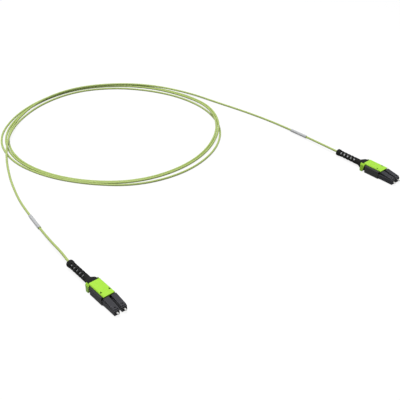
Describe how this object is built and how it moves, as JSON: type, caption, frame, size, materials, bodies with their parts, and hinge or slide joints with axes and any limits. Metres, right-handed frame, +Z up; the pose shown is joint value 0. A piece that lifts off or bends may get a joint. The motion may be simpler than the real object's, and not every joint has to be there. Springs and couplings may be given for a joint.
{
  "type": "duplex fibre patch cord",
  "caption": "Thin round fibre cable laid in loose turns, with a square twin-plug connector at each end, its flat slide cover and windowed boot pulled back to release the latches.",
  "frame": {"origin": "on the floor, at the bottom centre of the box round the two connectors", "axes": "+X the way both connectors point, +Y from the near connector to the far one, +Z up"},
  "size_m": [0.3605, 0.2932, 0.0089],
  "materials": {
    "lime_plastic": "satin moulded",
    "black_plastic": "satin moulded",
    "plug_plastic": "satin moulded",
    "boot_plastic": "matt elastomer",
    "ceramic": "polished zirconia ceramic",
    "nickel_metal": "nickel plated",
    "spring_steel": "drawn wire",
    "cable_jacket": "pale yellow-green satin jacket",
    "fibre_buffer": "white buffer",
    "marker_plastic": "pale grey satin sleeve"
  },
  "bodies": {
    "cord": {"cable_far_lead": "cable_jacket", "cable_first_turn": "cable_jacket", "cable_near_lead": "cable_jacket", "cable_second_turn": "cable_jacket", "cable_third_turn": "cable_jacket", "far_body_base": "black_plastic", "far_body_lid": "black_plastic", "far_cable_tail": "cable_jacket", "far_crimp_post": "nickel_metal", "far_crimp_sleeve": "nickel_metal", "far_inner_sleeve": "marker_plastic", "far_left_ferrule_spring": "spring_steel", "far_left_fibre": "fibre_buffer", "far_left_plug_frame": "plug_plastic", "far_left_spring_pusher": "plug_plastic", "far_marker_sleeve": "marker_plastic", "far_right_ferrule_spring": "spring_steel", "far_right_fibre": "fibre_buffer", "far_right_plug_frame": "plug_plastic", "far_right_spring_pusher": "plug_plastic", "near_body_base": "black_plastic", "near_body_lid": "black_plastic", "near_cable_tail": "cable_jacket", "near_crimp_post": "nickel_metal", "near_crimp_sleeve": "nickel_metal", "near_inner_sleeve": "marker_plastic", "near_left_ferrule_spring": "spring_steel", "near_left_fibre": "fibre_buffer", "near_left_plug_frame": "plug_plastic", "near_left_spring_pusher": "plug_plastic", "near_marker_sleeve": "marker_plastic", "near_right_ferrule_spring": "spring_steel", "near_right_fibre": "fibre_buffer", "near_right_plug_frame": "plug_plastic", "near_right_spring_pusher": "plug_plastic"},
    "near_puller": {"near_slide_cover": "lime_plastic", "near_boot": "boot_plastic"},
    "near_left_latch": {"near_left_latch_arm": "plug_plastic"},
    "near_left_ferrule_set": {"near_left_ferrule": "ceramic", "near_left_ferrule_flange": "nickel_metal"},
    "near_right_latch": {"near_right_latch_arm": "plug_plastic"},
    "near_right_ferrule_set": {"near_right_ferrule": "ceramic", "near_right_ferrule_flange": "nickel_metal"},
    "far_puller": {"far_slide_cover": "lime_plastic", "far_boot": "boot_plastic"},
    "far_left_latch": {"far_left_latch_arm": "plug_plastic"},
    "far_left_ferrule_set": {"far_left_ferrule": "ceramic", "far_left_ferrule_flange": "nickel_metal"},
    "far_right_latch": {"far_right_latch_arm": "plug_plastic"},
    "far_right_ferrule_set": {"far_right_ferrule": "ceramic", "far_right_ferrule_flange": "nickel_metal"}
  },
  "joints": [
    {"name": "near_pull", "type": "slide", "parent": "cord", "child": "near_puller", "axis": [-1, 0, 0], "range_m": [0, 0.0025], "stiffness_N_per_m": 400},
    {"name": "near_left_latch_flex", "type": "hinge", "parent": "cord", "child": "near_left_latch", "pos_m": [0.02028, -0.13764, 0.00535], "axis": [0, -1, 0], "range_deg": [0, 4.8]},
    {"name": "near_left_ferrule_float", "type": "slide", "parent": "cord", "child": "near_left_ferrule_set", "axis": [-1, 0, 0], "range_m": [0, 0.001], "stiffness_N_per_m": 2000, "deforming": ["near_left_ferrule_spring"]},
    {"name": "near_right_latch_flex", "type": "hinge", "parent": "cord", "child": "near_right_latch", "pos_m": [0.02028, -0.14389, 0.00535], "axis": [0, -1, 0], "range_deg": [0, 4.8]},
    {"name": "near_right_ferrule_float", "type": "slide", "parent": "cord", "child": "near_right_ferrule_set", "axis": [-1, 0, 0], "range_m": [0, 0.001], "stiffness_N_per_m": 2000, "deforming": ["near_right_ferrule_spring"]},
    {"name": "far_pull", "type": "slide", "parent": "cord", "child": "far_puller", "axis": [-1, 0, 0], "range_m": [0, 0.0025], "stiffness_N_per_m": 400},
    {"name": "far_left_latch_flex", "type": "hinge", "parent": "cord", "child": "far_left_latch", "pos_m": [0.04192, 0.14389, 0.00535], "axis": [0, -1, 0], "range_deg": [0, 4.8]},
    {"name": "far_left_ferrule_float", "type": "slide", "parent": "cord", "child": "far_left_ferrule_set", "axis": [-1, 0, 0], "range_m": [0, 0.001], "stiffness_N_per_m": 2000, "deforming": ["far_left_ferrule_spring"]},
    {"name": "far_right_latch_flex", "type": "hinge", "parent": "cord", "child": "far_right_latch", "pos_m": [0.04192, 0.13764, 0.00535], "axis": [0, -1, 0], "range_deg": [0, 4.8]},
    {"name": "far_right_ferrule_float", "type": "slide", "parent": "cord", "child": "far_right_ferrule_set", "axis": [-1, 0, 0], "range_m": [0, 0.001], "stiffness_N_per_m": 2000, "deforming": ["far_right_ferrule_spring"]}
  ],
  "couplings": [
    {"joint": "near_left_latch_flex", "follows": "near_pull", "rad_per_m": 29.32},
    {"joint": "near_right_latch_flex", "follows": "near_pull", "rad_per_m": 29.32},
    {"joint": "far_left_latch_flex", "follows": "far_pull", "rad_per_m": 29.32},
    {"joint": "far_right_latch_flex", "follows": "far_pull", "rad_per_m": 29.32}
  ]
}
